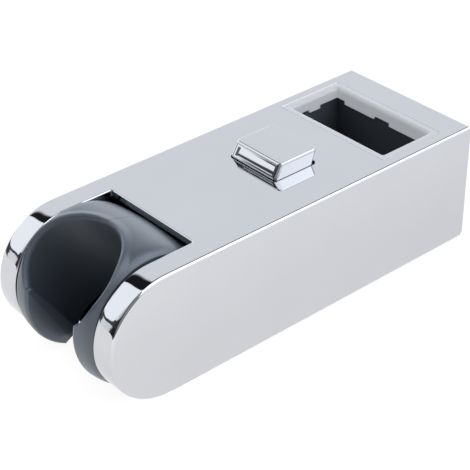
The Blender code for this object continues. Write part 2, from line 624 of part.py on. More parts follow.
def holder_section(angle):
    """Section of the holder in a half-plane through the bore's axis, as (distance, height).

    It runs up the conical bore, over the round lip, out along the barrel's top to its
    widest point and back below to the flat lower end.
    """
    across, along = math.cos(angle), math.sin(angle)
    low = -BARREL_CUT_BELOW
    crest = BORE_MOUTH_RADIUS + LIP_RADIUS
    foot = crest + LIP_RADIUS

    def square_of_height(distance):
        return barrel_radius(distance * along) ** 2 - (distance * across - BORE_OFFSET) ** 2

    def height(distance):
        return math.sqrt(max(square_of_height(distance), 0.0))

    def in_barrel(distance):
        return abs(distance * along) <= BARREL_HALF_WIDTH and square_of_height(distance) >= 0.0

    lip_middle = math.sqrt((BARREL_RADIUS + LIP_RISE) ** 2 - (crest * across - BORE_OFFSET) ** 2)
    lip_middle -= LIP_RADIUS
    section = [(BORE_END_RADIUS, low), (BORE_MOUTH_RADIUS, lip_middle)]
    for step in range(1, LIP_STEPS):
        turn = math.pi * (1 - step / LIP_STEPS)
        section.append((crest + LIP_RADIUS * math.cos(turn), lip_middle + LIP_RADIUS * math.sin(turn)))

    widest = farthest(foot, in_barrel)
    for step in range(TOP_STEPS + 1):
        distance = foot + (widest - foot) * math.sin(math.pi / 2 * step / TOP_STEPS)
        section.append((distance, height(distance)))
    edge = height(widest)
    side_foot = -min(edge, BARREL_CUT_BELOW)
    section += [(widest, edge + (side_foot - edge) * step / 3) for step in (1, 2, 3)]

    def above_flat_end(distance):
        return in_barrel(distance) and height(distance) >= BARREL_CUT_BELOW

    lower_end = farthest(BORE_END_RADIUS + LIP_RADIUS, above_flat_end)
    for step in range(1, BASE_STEPS + 1):
        distance = widest + (lower_end - widest) * (1 - math.cos(math.pi / 2 * step / BASE_STEPS))
        section.append((distance, max(-height(distance), low)))
    return section


def make_holder(material):
    """The barrel lofted round the bore's axis, then slotted, with a trunnion each side."""
    bm = bmesh.new()
    rings = []
    for station in range(HOLDER_STATIONS):
        angle = 2 * math.pi * station / HOLDER_STATIONS
        rings.append([bm.verts.new((distance * math.cos(angle) - BORE_OFFSET,
                                    distance * math.sin(angle), height))
                      for distance, height in holder_section(angle)])
    for ring, after in zip(rings, rings[1:] + rings[:1]):
        for i in range(len(ring)):
            j = (i + 1) % len(ring)
            bm.faces.new((ring[i], after[i], after[j], ring[j]))
    bmesh.ops.remove_doubles(bm, verts=bm.verts, dist=0.01 * MM)
    holder = object_from_bmesh("holder", bm, material)
    slot = box("hose_slot", (-FAR, -HOSE_SLOT_WIDTH / 2, -FAR), (-BORE_OFFSET, HOSE_SLOT_WIDTH / 2, FAR))
    cut(holder, slot)
    for side in (-1, 1):
        trunnion = cylinder(f"trunnion_{side + 2}", (0, side * (BARREL_HALF_WIDTH - GAP), 0), (0, side, 0),
                            TRUNNION_RADIUS, TRUNNION_LENGTH + GAP, segments=24)
        trunnion.parent = holder
        join(holder, trunnion)
    slot.parent = holder
    holder.location = PIVOT
    holder.rotation_euler = (0, math.radians(-BORE_TILT_DEG), 0)
    return holder


def make_ring(name, side, inner, outer, start, length, material):
    """A turned ring round the pivot axis, from start outwards."""
    centre = Vector((PIVOT.x, side * start, PIVOT.z))
    ring = cylinder(name, centre, (0, side, 0), outer, length, material, segments=32)
    hole = cylinder(f"{name}_hole", centre - Vector((0, side * WALL, 0)), (0, side, 0), inner,
                    length + 2 * WALL, segments=32)
    cut(ring, hole)


def make_pivot_parts(bush_material, rubber):
    """A rubber ring that brakes the holder, then a bush, on each trunnion."""
    bore = TRUNNION_RADIUS + GAP
    ring_start = HALF_BAY
    bush_start = ring_start + RING_THICKNESS + GAP
    for side, name in ((1, "left"), (-1, "right")):
        make_ring(f"friction_ring_{name}", side, bore, bore + RING_WALL, ring_start, RING_THICKNESS, rubber)
        make_ring(f"pivot_bush_{name}", side, bore, bore + BUSH_WALL, bush_start, BUSH_LENGTH, bush_material)


clear_scene()
PARTS = new_collection("shower_rail_slider")
TOOLS = new_collection("cutters", shown=False)

chrome = finish_material("chrome", (0.80, 0.82, 0.85), 0.06, 1.0)
grey_plastic = finish_material("grey_plastic", (0.17, 0.19, 0.21), 0.38)
white_plastic = finish_material("white_plastic", (0.80, 0.80, 0.79), 0.35)
dark_plastic = finish_material("dark_plastic", (0.03, 0.035, 0.04), 0.45)
natural_acetal = finish_material("natural_acetal", (0.75, 0.74, 0.70), 0.40)
rubber_finish = finish_material("rubber", (0.02, 0.02, 0.02), 0.80)
steel = finish_material("steel", (0.62, 0.62, 0.64), 0.25, 1.0)

make_housing(chrome)
make_base_cover(chrome)
make_screws(steel)
make_liner("top_liner", white_plastic, upwards=True)
make_liner("bottom_liner", white_plastic, upwards=False)
make_inner_frame(dark_plastic)
make_push_button(chrome)
make_brake_slide(natural_acetal)
make_brake_pad(rubber_finish)
button_x = from_rear(BUTTON_FROM_REAR)
post_top = channel_floor_top() + SPRING_POST_HEIGHT + GAP
flange_underside = BODY_HEIGHT - WALL - GAP - BUTTON_FLANGE - GAP
make_spring("button_spring", (button_x, 0, post_top), (0, 0, 1), flange_underside - post_top,
            BUTTON_SPRING_TURNS, steel)
slide_end = from_rear(SLIDE_TO_REAR) - GAP
bulkhead_face = from_rear(BAY_FROM_REAR - WALL) + GAP
make_spring("brake_spring", (slide_end, 0, slide_middle()), (-1, 0, 0), slide_end - bulkhead_face,
            BRAKE_SPRING_TURNS, steel)
make_holder(grey_plastic)
make_pivot_parts(natural_acetal, rubber_finish)
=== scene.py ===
import math

import bmesh
import bpy
import numpy as np
from mathutils import Matrix, Vector
from mathutils.geometry import tessellate_polygon


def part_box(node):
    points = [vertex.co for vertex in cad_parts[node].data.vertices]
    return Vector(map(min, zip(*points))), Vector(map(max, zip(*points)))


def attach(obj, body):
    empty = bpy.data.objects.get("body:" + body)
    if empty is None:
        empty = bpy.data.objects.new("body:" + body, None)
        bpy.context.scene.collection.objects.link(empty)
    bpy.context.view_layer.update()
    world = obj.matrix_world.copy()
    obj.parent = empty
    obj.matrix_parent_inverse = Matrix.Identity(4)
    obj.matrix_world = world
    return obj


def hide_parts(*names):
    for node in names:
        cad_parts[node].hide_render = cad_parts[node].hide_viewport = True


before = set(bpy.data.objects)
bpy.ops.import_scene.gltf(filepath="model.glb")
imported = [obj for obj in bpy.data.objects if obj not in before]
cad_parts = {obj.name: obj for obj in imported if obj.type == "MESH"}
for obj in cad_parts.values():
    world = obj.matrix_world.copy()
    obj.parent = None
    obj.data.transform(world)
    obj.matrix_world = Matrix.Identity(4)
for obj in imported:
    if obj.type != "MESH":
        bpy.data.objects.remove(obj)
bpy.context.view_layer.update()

MM = 0.001

# Camera. It stands in front of the holder's end, to the near side and above, and was
# fitted to the photograph's edges, with a long lens and no shift.
camera = bpy.data.objects.new("camera", bpy.data.cameras.new("camera"))
bpy.context.scene.collection.objects.link(camera)
bpy.context.scene.camera = camera
camera.data.sensor_width = 36.0
camera.data.lens = 119.2185
to_right = Vector((0.750795, -0.660513, -0.005416))
to_back = Vector((-0.551059, -0.630859, 0.546215))
camera_axes = Matrix((to_right, to_back.cross(to_right), to_back)).transposed()
camera_place = Matrix.Translation((-0.197448, -0.223866, 0.208546))
camera.matrix_world = camera_place @ camera_axes.to_4x4()


# Body shell. The real one is moulded in one piece and chromed: a flat top and sides, a
# half-round nose split into two cheeks by the holder's bay, and small rounds on all edges.
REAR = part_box("housing")[1].x
HEIGHT = 30.2 * MM
ROOF = 1.6 * MM
CEILING = HEIGHT - ROOF
NOSE = Vector((REAR - 92.5 * MM, 0.0, HEIGHT / 2))
NOSE_LEAN = math.radians(8)
EDGE = 0.75 * MM
FLAT_HALF = 20.0 * MM - EDGE
REAR_TOP_ROUND = 0.8 * MM
REAR_BASE_ROUND = 1.5 * MM
BAY_HALF = 13.9 * MM
BAY_CORNER = 0.7 * MM
BAY_ROUND = 0.35 * MM
BAY_END = REAR - 80.5 * MM
BULKHEAD = REAR - 66.0 * MM
LINER_HOLE = (REAR - 26.95 * MM, -17.05 * MM), (REAR - 7.85 * MM, 17.05 * MM), 0.5 * MM
BUTTON_SLOT = (REAR - 51.65 * MM, -7.8 * MM), (REAR - 38.6 * MM, 7.8 * MM), 1.2 * MM
HOLE_ROUND = 0.15 * MM
COVER_SEAT = (REAR - 65.0 * MM, -19.0 * MM), (REAR - 1.6 * MM, 19.0 * MM)
COVER_LEDGE = 2.3 * MM
ROOM = (REAR - 63.8 * MM, -17.8 * MM), (REAR - 2.2 * MM, 17.8 * MM)
UP = np.array((0.0, 0.0, 1.0))
ACROSS = np.array((0.0, 1.0, 0.0))


def unit(vectors):
    """Vectors divided by their lengths."""
    return vectors / np.linalg.norm(vectors, axis=-1, keepdims=True)


def grid(points, normals, wrap=False):
    """Quads between neighbouring rows and columns; wrap joins the last row to the first."""
    rows, columns = points.shape[:2]
    index = np.arange(rows * columns).reshape(rows, columns)
    if wrap:
        index = np.vstack((index, index[:1]))
    faces = np.stack((index[:-1, :-1], index[1:, :-1], index[1:, 1:], index[:-1, 1:]), axis=-1)
    normals = np.broadcast_to(normals, points.shape)
    return points.reshape(-1, 3), faces.reshape(-1, 4), normals.reshape(-1, 3)


def flat(loops, normal):
    """A flat face inside the first loop of points and outside the other loops."""
    corners = tessellate_polygon([[Vector(point) for point in loop] for loop in loops])
    triangles = np.array(corners).reshape(-1, 3)
    points = np.concatenate(loops)
    return points, np.c_[triangles, triangles[:, 2]], np.broadcast_to(normal, points.shape)


def weld(name, patches, sharp_deg=None):
    """One mesh from patches of (points, quads, normals) that share their border points.

    Points in the same cell of a micrometre grid become one. Each face is wound to look along
    its corners' normals, which are kept for shading unless an angle for sharp edges is given.
    """
    starts = np.cumsum([0] + [len(patch[0]) for patch in patches])
    points = np.concatenate([patch[0] for patch in patches])
    normals = np.concatenate([patch[2] for patch in patches])
    corners = np.concatenate([patch[1] + start for patch, start in zip(patches, starts)])
    a, b, c, d = (points[corners[:, i]] for i in range(4))
    facing = np.cross(c - a, d - b)
    backwards = np.einsum("ij,ij->i", facing, normals[corners].sum(axis=1)) < 0
    corners[backwards] = corners[backwards, ::-1]
    keys = np.floor(points / 1e-6 + 0.37).astype(np.int64)
    _, first, same = np.unique(keys, axis=0, return_index=True, return_inverse=True)
    same = same.reshape(-1)[corners]
    kept = same != np.roll(same, -1, axis=1)
    kept &= ~((same == np.roll(same, 2, axis=1)) & (np.arange(4) > 1))
    whole = kept.sum(axis=1) > 2
    same, kept, corners = same[whole], kept[whole], corners[whole]
    mesh = bpy.data.meshes.new(name)
    mesh.vertices.add(len(first))
    mesh.vertices.foreach_set("co", points[first].astype(np.float32).ravel())
    mesh.loops.add(int(kept.sum()))
    mesh.loops.foreach_set("vertex_index", same[kept].astype(np.int32))
    mesh.polygons.add(len(same))
    counts = kept.sum(axis=1)
    mesh.polygons.foreach_set("loop_start", (np.cumsum(counts) - counts).astype(np.int32))
    mesh.update(calc_edges=True)
    mesh.shade_smooth()
    if sharp_deg is None:
        mesh.normals_split_custom_set(normals[corners[kept]].tolist())
    else:
        bm = bmesh.new()
        bm.from_mesh(mesh)
        bmesh.ops.recalc_face_normals(bm, faces=bm.faces)
        bm.to_mesh(mesh)
        bm.free()
        mesh.set_sharp_from_angle(angle=math.radians(sharp_deg))
    piece = bpy.data.objects.new(name, mesh)
    bpy.context.scene.collection.objects.link(piece)
    return piece


def rounded_rectangle(low, high, radius, steps=6):
    """Loop of a rectangle with round corners, as plan points and outward plan normals."""
    angles = np.linspace(0, math.pi / 2, steps + 1)
    turns = (np.arange(4)[:, None] * math.pi / 2 + angles).ravel()
    outward = np.stack((np.cos(turns), np.sin(turns)), axis=-1)
    low, high = np.array(low), np.array(high)
    quarter = np.repeat([[1, 1], [0, 1], [0, 0], [1, 0]], steps + 1, axis=0)
    centre = np.where(quarter == 1, high - radius, low + radius)
    return centre + radius * outward, outward


def rim(base, over, away, radius, steps=6):
    """Rounded edge of an opening: a quarter turn from the surface round into the wall.

    base is where the two would meet, over is the surface's normal there and away points from
    the opening into the material. Columns run from the surface to the wall.
    """
    turn = np.linspace(0, math.pi / 2, steps + 1)[:, None]
    over = np.broadcast_to(over, base.shape)[:, None]
    base, away = base[:, None], away[:, None]
    points = base + away * radius * (1 - np.sin(turn)) - over * radius * (1 - np.cos(turn))
    return points, over * np.cos(turn) - away * np.sin(turn)


def on_plane(plan, z):
    """Plan points at one height."""
    return np.c_[plan, np.full(len(plan), z)]


def rectangle(low, high, z):
    """The four corners of a rectangle at one height."""
    return on_plane([low, (high[0], low[1]), high, (low[0], high[1])], z)


def arc_profile(centre_x, centre_z, radius, start_deg, end_deg, steps):
    """Points and normals of an arc in the side view, by its angle from the rear end's direction."""
    turn = np.radians(np.linspace(start_deg, end_deg, steps + 1))
    normals = np.stack((np.cos(turn), np.zeros_like(turn), np.sin(turn)), axis=-1)
    return np.array((centre_x, 0.0, centre_z)) + radius * normals, normals


def side_outline():
    """The side view's outline with its normals, and the nose's part of both.

    It is the nose's half circle from the top line to the bottom line, then a small arc below
    and one above at the rear end.
    """
    nose = arc_profile(NOSE.x, NOSE.z, HEIGHT / 2, 90, 270, 120)
    base = arc_profile(REAR - REAR_BASE_ROUND, REAR_BASE_ROUND, REAR_BASE_ROUND, -90, 0, 8)
    top = arc_profile(REAR - REAR_TOP_ROUND, HEIGHT - REAR_TOP_ROUND, REAR_TOP_ROUND, 0, 90, 6)
    outline, outline_n = (np.concatenate(arcs) for arcs in zip(nose, base, top))
    return outline, outline_n, *nose


def nose_lean(count):
    """How far a cheek's normals lean out at its edges, for each of the nose's points.

    It grows smoothly from nothing over some points below the flat top, and fades over the last.
    """
    place = np.arange(count)
    level, growing, fading = 4, 24, 30
    rounded = np.clip((place - level) / growing, 0, 1) * np.clip((count - place) / fading, 0, 1)
    return NOSE_LEAN * rounded * rounded * (3 - 2 * rounded)


def outer_sides(outline, outline_n, lean):
    """Both flat sides, each joined to the strip round the outline by a quarter round.

    The round's normals turn evenly from the strip's leaning ones to the side's own.
    """
    turn = np.linspace(0, math.pi / 2, 7)[:, None]
    leaning = lean[:, None, None] + turn * (1 - lean[:, None, None] * 2 / math.pi)
    patches = []
    for side in (-1, 1):
        out = ACROSS * side
        lifted = outline[:, None] + out * (FLAT_HALF + EDGE * np.sin(turn))
        lifted = lifted - outline_n[:, None] * EDGE * (1 - np.cos(turn))
        normals = outline_n[:, None] * np.cos(leaning) + out * np.sin(leaning)
        patches += [grid(lifted, normals, wrap=True), flat([lifted[:, -1]], out)]
    return patches


def bay_end(x):
    """Rear end of the bay in plan, from the near cheek to the far one, with its outward normals."""
    plan, out = rounded_rectangle((NOSE.x, -BAY_HALF), (x, BAY_HALF), BAY_CORNER)
    quarter = len(plan) // 4
    end = np.r_[3 * quarter:4 * quarter, 0:quarter]
    return plan[end], on_plane(out[end], 0.0)


def roof_opening(low, high, corner):
    """A hole in the roof: a fine round, a wall down to the ceiling, and the loops above and below."""
    plan, out = rounded_rectangle(low, high, corner)
    away = on_plane(out, 0.0)
    lip, lip_n = rim(on_plane(plan, HEIGHT), UP, away, HOLE_ROUND, 4)
    below = on_plane(plan, CEILING)
    wall = np.stack((lip[:, -1], below), axis=1)
    return [grid(lip, lip_n, wrap=True), grid(wall, -away[:, None], wrap=True)], lip[:, 0], below


def room_walls(low, high, z_low, z_high):
    """The four walls of a rectangular room, which face into it."""
    foot, head = rectangle(low, high, z_low), rectangle(low, high, z_high)
    patches = []
    for corner in range(4):
        ends = [corner, (corner + 1) % 4]
        inward = unit(np.cross(UP, foot[ends[1]] - foot[ends[0]]))
        patches.append(grid(np.stack((foot[ends], head[ends])), inward))
    return patches


def housing_patches():
    """The shell's faces: strips round the side view's outline, flat faces, and round rims.

    Each cheek's nose is slightly crowned in its shading: its normals lean to both edges with
    the cube of the way there.
    """
    outline, outline_n, nose, nose_n = side_outline()
    lean = nose_lean(len(nose))
    rear = slice(len(nose), len(outline))
    patches = outer_sides(outline, outline_n, np.r_[lean, np.zeros(len(outline[rear]))])
    to_side = ACROSS * FLAT_HALF
    back = np.stack((outline[rear] - to_side, outline[rear] + to_side), axis=1)
    patches.append(grid(back, outline_n[rear, None]))

    notch, notch_away = bay_end(BAY_END)
    heel, heel_away = bay_end(BULKHEAD)
    each_end, each_nose = np.ones((len(notch), 1)), np.ones((len(nose), 1))
    loop = np.concatenate((on_plane(notch, HEIGHT), nose + ACROSS * BAY_HALF,
                           on_plane(heel, 0.0)[::-1], nose[::-1] - ACROSS * BAY_HALF))
    over = np.concatenate((UP * each_end, nose_n, -UP * each_end, nose_n[::-1]))
    away = np.concatenate((notch_away, ACROSS * each_nose, heel_away[::-1], -ACROSS * each_nose))
    points, normals = rim(loop, over, away, BAY_ROUND)
    patches.append(grid(points, normals, wrap=True))
    cuts = np.cumsum((len(notch), len(nose), len(heel)))
    top_edge, far_edge, heel_edge, near_edge = np.split(points[:, 0], cuts)
    top_rim, far_rim, heel_rim, near_rim = np.split(points[:, -1], cuts)

    share = np.linspace(0, 1, 17)[:, None]
    for side, edge in ((1, far_edge), (-1, near_edge)):
        outer = nose[::side] + to_side * side
        away = (2 * share - 1) ** 3 * lean[::side, None, None]
        crowned = nose_n[::side, None] * np.cos(away) + ACROSS * side * np.sin(away)
        patches.append(grid(edge[:, None] * (1 - share) + outer[:, None] * share, crowned))

    liner_walls, liner_top, liner_below = roof_opening(*LINER_HOLE)
    slot_walls, slot_top, slot_below = roof_opening(*BUTTON_SLOT)
    patches += liner_walls + slot_walls
    top = rectangle((NOSE.x, -FLAT_HALF), (REAR - REAR_TOP_ROUND, FLAT_HALF), HEIGHT)
    top = np.concatenate((top[::-1], near_edge[-1:], top_edge, far_edge[:1]))
    patches.append(flat([top, liner_top, slot_top], UP))
    base = rectangle((NOSE.x, -FLAT_HALF), (REAR - REAR_BASE_ROUND, FLAT_HALF), 0.0)
    base = np.concatenate((base[::-1], near_edge[:1], heel_edge[::-1], far_edge[-1:]))
    patches.append(flat([base[::-1], rectangle(*COVER_SEAT, 0.0)], -UP))
    patches.append(flat([rectangle(*COVER_SEAT, COVER_LEDGE), rectangle(*ROOM, COVER_LEDGE)], -UP))
    patches.append(flat([rectangle(*ROOM, CEILING), liner_below, slot_below], -UP))
    patches += room_walls(*COVER_SEAT, 0.0, COVER_LEDGE) + room_walls(*ROOM, COVER_LEDGE, CEILING)

    notch_wall = np.stack((top_rim, on_plane(top_rim[:, :2], CEILING)), axis=1)
    patches.append(grid(notch_wall, -notch_away[:, None]))
    heel_wall = np.stack((heel_rim, on_plane(heel_rim[:, :2], CEILING)), axis=1)
    patches.append(grid(heel_wall, -heel_away[::-1, None]))
    patches.append(flat([np.concatenate((notch_wall[:, 1], heel_wall[:, 1]))], -UP))
    patches.append(flat([np.concatenate((notch_wall[-1, ::-1], far_rim, heel_wall[0]))], -ACROSS))
    patches.append(flat([np.concatenate((heel_wall[-1, ::-1], near_rim, notch_wall[0]))], ACROSS))
    return patches


class Wire:
    """An output socket of a node tree. Arithmetic on it adds Math nodes to that tree."""

    def __init__(self, tree, socket=None):
        self.tree = tree
        self.socket = socket

    def add(self, kind, settings=None, inputs=None, output=0):
        """One output of a new node: first its settings, then its sockets' values or links."""
        node = self.tree.nodes.new(kind)
        for name, value in (settings or {}).items():
            setattr(node, name, value)
        for name, value in (inputs or {}).items():
            if isinstance(value, Wire):
                self.tree.links.new(value.socket, node.inputs[name])
            else:
                node.inputs[name].default_value = value
        return Wire(self.tree, node.outputs[output])

    def math(self, operation, first, second=0.0):
        """A Math node's result on one number or two."""
        return self.add("ShaderNodeMath", {"operation": operation}, {0: first, 1: second})

    def __add__(self, other):
        return self.math("ADD", self, other)

    __radd__ = __add__

    def __sub__(self, other):
        return self.math("SUBTRACT", self, other)

    def __rsub__(self, other):
        return self.math("SUBTRACT", other, self)

    def __mul__(self, other):
        return self.math("MULTIPLY", self, other)

    __rmul__ = __mul__

    def __truediv__(self, other):
        return self.math("DIVIDE", self, other)

    def __pow__(self, other):
        return self.math("POWER", self, other)

    def above(self, edge, blur):
        """0 below the edge and 1 above it, with a soft step of that width."""
        return self.add("ShaderNodeMapRange", {"interpolation_type": "SMOOTHSTEP"},
                        {"Value": self, "From Min": edge - blur / 2, "From Max": edge + blur / 2})

    def largest(self, other):
        """This number or the other, whichever is larger."""
        return self.math("MAXIMUM", self, other)

    def axes(self):
        """The three coordinates of a vector."""
        split = self.add("ShaderNodeSeparateXYZ", {}, {"Vector": self})
        return [Wire(self.tree, socket) for socket in split.socket.node.outputs]

    def scaled(self, colour):
        """A colour, or another wire's colour, times this number."""
        return self.add("ShaderNodeVectorMath", {"operation": "SCALE"}, {0: colour, "Scale": self})


def finish(name, colour, roughness, metallic=0.0, **constants):
    """A material with its constants set, its object coordinates, and its shader to work on."""
    material = bpy.data.materials.new(name)
    material.use_nodes = True
    tree = material.node_tree
    shader = tree.nodes["Principled BSDF"]
    shader.inputs["Base Color"].default_value = (*colour, 1.0)
    shader.inputs["Roughness"].default_value = roughness
    shader.inputs["Metallic"].default_value = metallic
    for socket, value in constants.items():
        shader.inputs[socket.replace("_", " ")].default_value = value
    return material, Wire(tree).add("ShaderNodeTexCoord", output="Object"), shader


def noise(place, scale, detail=3.0):
    """Even noise from 0 to 1 with this many waves in a metre."""
    return place.add("ShaderNodeTexNoise", {}, {"Vector": place, "Scale": scale, "Detail": detail})


def mix_colour(factor, *colours):
    """The first colour where factor is 0 and the second where it is 1."""
    first, second = (colour if isinstance(colour, Wire) else (*colour, 1.0) for colour in colours)
    return factor.add("ShaderNodeMix", {"data_type": "RGBA"},
                      {"Factor": factor, 6: first, 7: second}, output=2)


def feed(shader, socket, wire):
    """Links a wire to one of the shader's sockets."""
    wire.tree.links.new(wire.socket, shader.inputs[socket])


def bump(shader, height, depth):
    """Height from 0 to 1 as relief of that depth."""
    feed(shader, "Normal", height.add("ShaderNodeBump", {}, {"Height": height, "Distance": depth}))


def hairlines(place, angle_deg, seed, amount):
    """Thin straight scratches: noise drawn out along one direction, cut off near its peak."""
    turned = place.add("ShaderNodeMapping", {}, {
        "Vector": place, "Location": (seed, seed * 0.7, seed * 1.3),
        "Rotation": (0.0, math.radians(angle_deg), 0.0), "Scale": (55.0, 400.0, 2600.0)})
    return noise(turned, 1.0, 1.0).above(1.0 - amount, 0.03)


def plate_chrome(name, scratched):
    """Bright chrome plating over plastic: a slight ripple, faint smears and hairline scratches."""
    material, place, shader = finish(name, (0.555, 0.562, 0.585), 0.03, 1.0)
    smear = noise(place, 45.0, 4.0)
    roughness = 0.02 + 0.05 * smear.above(0.62, 0.3)
    feed(shader, "Base Color", mix_colour(smear.above(0.5, 0.6), (0.548, 0.555, 0.578),
                                          (0.562, 0.569, 0.592)))
    if scratched:
        near_side = 1 - place.axes()[1].above(-19.9 * MM, 0.2 * MM)
        lines = hairlines(place, 12.0, 3.1, 0.27).largest(hairlines(place, 64.0, 7.7, 0.25))
        lines = lines.largest(hairlines(place, -28.0, 5.3, 0.26))
        rubbed = noise(place, 38.0, 1.0).above(0.52, 0.2)
        roughness = roughness + 0.10 * (lines * rubbed) * near_side
    feed(shader, "Roughness", roughness)
    bump(shader, noise(place, 90.0, 1.0), 0.02 * MM)
    return material


body_chrome = plate_chrome("body_chrome", scratched=True)
housing = weld("housing_shell", housing_patches())
housing.data.materials.append(body_chrome)
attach(housing, "slider_body")
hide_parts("housing")


# Holder. One piece of satin grey plastic, moulded: a crowned barrel between the cheeks, an
# inclined conical bore with a low round rim, a slot for the hose, a trunnion on each side, and
# a fine parting line on top.
TILT = math.radians(30)
BORE_AHEAD = 2.6 * MM
BORE_END, BORE_MOUTH = 10.9 * MM, 11.8 * MM
RIM = 1.05 * MM
RIM_RISE = 0.4 * MM
RIM_SLOPE = 1.7 * MM
RIM_FADE = 0.22
BARREL = 17.1 * MM
BARREL_CROWN = 5.0
BARREL_BACK = 0.65 * MM
BARREL_ROUND = 1.0 * MM
BARREL_HALF = 13.6 * MM
BARREL_LOW = -9.2 * MM
SLOT_HALF = 8.0 * MM
SLOT_ROUND = 1.0 * MM
ROUND_IN_BORE, ROUND_AT_RIM, ROUND_OUTSIDE = 0.22, 0.55, 0.5
PARTING_SIDE = 1.2 * MM
TRUNNION = 4.0 * MM
TRUNNION_ROOT, TRUNNION_TIP = 13.3 * MM, 17.5 * MM


def barrel_top(u, v):
    """Height of the crowned barrel over a plan point.

    Its radius shrinks with the square of the distance from the middle, and by its
    fourteenth power near the rounded ends. Its axis lies a little behind the pivot.
    """
    radius = BARREL - BARREL_CROWN * v ** 2 - BARREL_ROUND * (v / BARREL_HALF) ** 14
    return np.sqrt(np.maximum(radius ** 2 - (u - BARREL_BACK) ** 2, 0.0))


def plan_point(reach, share):
    """Plan point at a distance from the bore's axis, on a line that fans from the back to the slot.

    Its angle is that share of the angle at which the slot's side lies at the same distance.
    """
    angle = share * (math.pi - np.arcsin((SLOT_HALF + SLOT_ROUND) / reach))
    return reach * np.cos(angle) - BORE_AHEAD, reach * np.sin(angle)


def farthest(share, start, inside):
    """The largest distance along each fanned line at which a test still holds, by halving."""
    low = np.broadcast_to(start, share.shape).copy()
    high = low + BARREL
    for _ in range(32):
        middle = (low + high) / 2
        holds = inside(*plan_point(middle, share))
        low = np.where(holds, middle, low)
        high = np.where(holds, high, middle)
    return low


def holder_half():
    """One half of the holder: its section, carried round the bore from the back to the slot.

    Each section runs up the conical bore, over the rim's inner round, down a slope that fades
    into the barrel, along the barrel to its widest place, and back below to the flat lower end.
    Past the last section the outline shrinks along its normals by shares of the slot's round,
    so that the slot's edges are round: much at the rim, little inside the bore.
    """
    share = np.linspace(0, 1, 170)[:, None]
    crest = BORE_MOUTH + RIM

    def in_barrel(u, v):
        """Whether a plan point lies within the barrel's ends and its radius."""
        return (np.abs(v) <= BARREL_HALF) & (barrel_top(u, v) > 0)

    def above_end(u, v):
        """Whether the barrel's underside there is still cut off by the flat lower end."""
        return in_barrel(u, v) & (barrel_top(u, v) >= -BARREL_LOW)

    start = barrel_top(*plan_point(crest, share))
    fade = np.clip((1 - share) / RIM_FADE, 0, 1)
    rim_top = start + RIM_RISE * fade * fade * (3 - 2 * fade)
    rise = np.linspace(0, 1, 28)
    reach = [BORE_END + (BORE_MOUTH - BORE_END) * rise + 0 * share]
    height = [BARREL_LOW + (rim_top - RIM - BARREL_LOW) * rise]
    shrink = [np.interp(rise, (0, 0.06, 0.75, 1),
                        (ROUND_OUTSIDE, ROUND_IN_BORE, ROUND_IN_BORE, ROUND_AT_RIM))]
    turn = np.linspace(math.pi, math.pi / 2, 11)[1:]
    reach.append(crest + RIM * np.cos(turn) + 0 * share)
    height.append(rim_top - RIM + RIM * np.sin(turn))
    shrink.append(0 * turn + ROUND_AT_RIM)

    widest = farthest(share, crest, in_barrel)
    done = np.linspace(0, 1, 61)[1:]
    outward = crest + (widest - crest) * np.sin(done * math.pi / 2)
    barrel = barrel_top(*plan_point(outward, share))
    slope = np.clip((outward - crest) / np.minimum(RIM_SLOPE, 0.95 * (widest - crest)), 0, 1)
    reach.append(outward)
    height.append(barrel + (rim_top - start) * (0.5 + 0.5 * np.cos(math.pi * slope)))
    shrink.append(0 * done + ROUND_AT_RIM)
    edge = barrel_top(*plan_point(widest, share))
    below = -np.minimum(edge, -BARREL_LOW)
    drop = np.linspace(0, 1, 17)[1:]
    reach.append(widest + 0 * drop)
    height.append(edge + (below - edge) * drop)
    shrink.append(0 * drop + ROUND_OUTSIDE)
    end = farthest(share, BORE_END + RIM, above_end)
    turn = np.linspace(0, math.pi / 2, 17)[1:]
    inward = widest + (end - widest) * (1 - np.cos(turn))
    reach.append(inward)
    height.append(np.maximum(-barrel_top(*plan_point(inward, share)), BARREL_LOW))
    shrink.append(0 * turn + ROUND_OUTSIDE)
    back = np.linspace(0, 1, 7)[1:-1]
    reach.append(end + (BORE_END - end) * back)
    height.append(BARREL_LOW + 0 * share + 0 * back)
    shrink.append(0 * back + ROUND_OUTSIDE)

    reach = np.concatenate(reach, axis=1)
    height = np.concatenate([part + 0 * share for part in height], axis=1)
    u, v = plan_point(reach, share)
    half = np.stack((u, v, height), axis=-1)

    section = half[-1][:, [0, 2]]
    moved = np.linalg.norm(section - np.roll(section, 1, axis=0), axis=1) > 1e-7
    section = section[moved]
    half = half[:, moved]
    step = unit(np.roll(section, -1, axis=0) - np.roll(section, 1, axis=0))
    area = np.cross(section, np.roll(section, -1, axis=0)).sum()
    inside = np.stack((-step[:, 1], step[:, 0]), axis=-1) * np.sign(area)
    inside = inside * np.concatenate(shrink)[moved, None]
    turn = np.linspace(0, math.pi / 2, 9)[1:, None]
    shrunk = section + inside * SLOT_ROUND * (1 - np.cos(turn))[..., None]
    level = SLOT_HALF + SLOT_ROUND * (1 - np.sin(turn)) + 0 * section[:, 0]
    rounded = np.stack((shrunk[..., 0], level, shrunk[..., 1]), axis=-1)
    return np.concatenate((half, rounded))


def tilted(points):
    """Turns bore coordinates (back, left, up along the bore) to the holder's place at rest."""
    back, left, up = points[..., 0], points[..., 1], points[..., 2]
    return np.stack((NOSE.x + back * math.cos(TILT) - up * math.sin(TILT), left,
                     NOSE.z + back * math.sin(TILT) + up * math.cos(TILT)), axis=-1)


def pin(root, tip, radius):
    """Profile of a round pin with a chamfered tip, as (distance along its axis, radius) pairs."""
    chamfer = 0.3 * MM
    return [(root, 1e-6), (root, radius), (tip - chamfer, radius), (tip, radius - chamfer), (tip, 1e-6)]


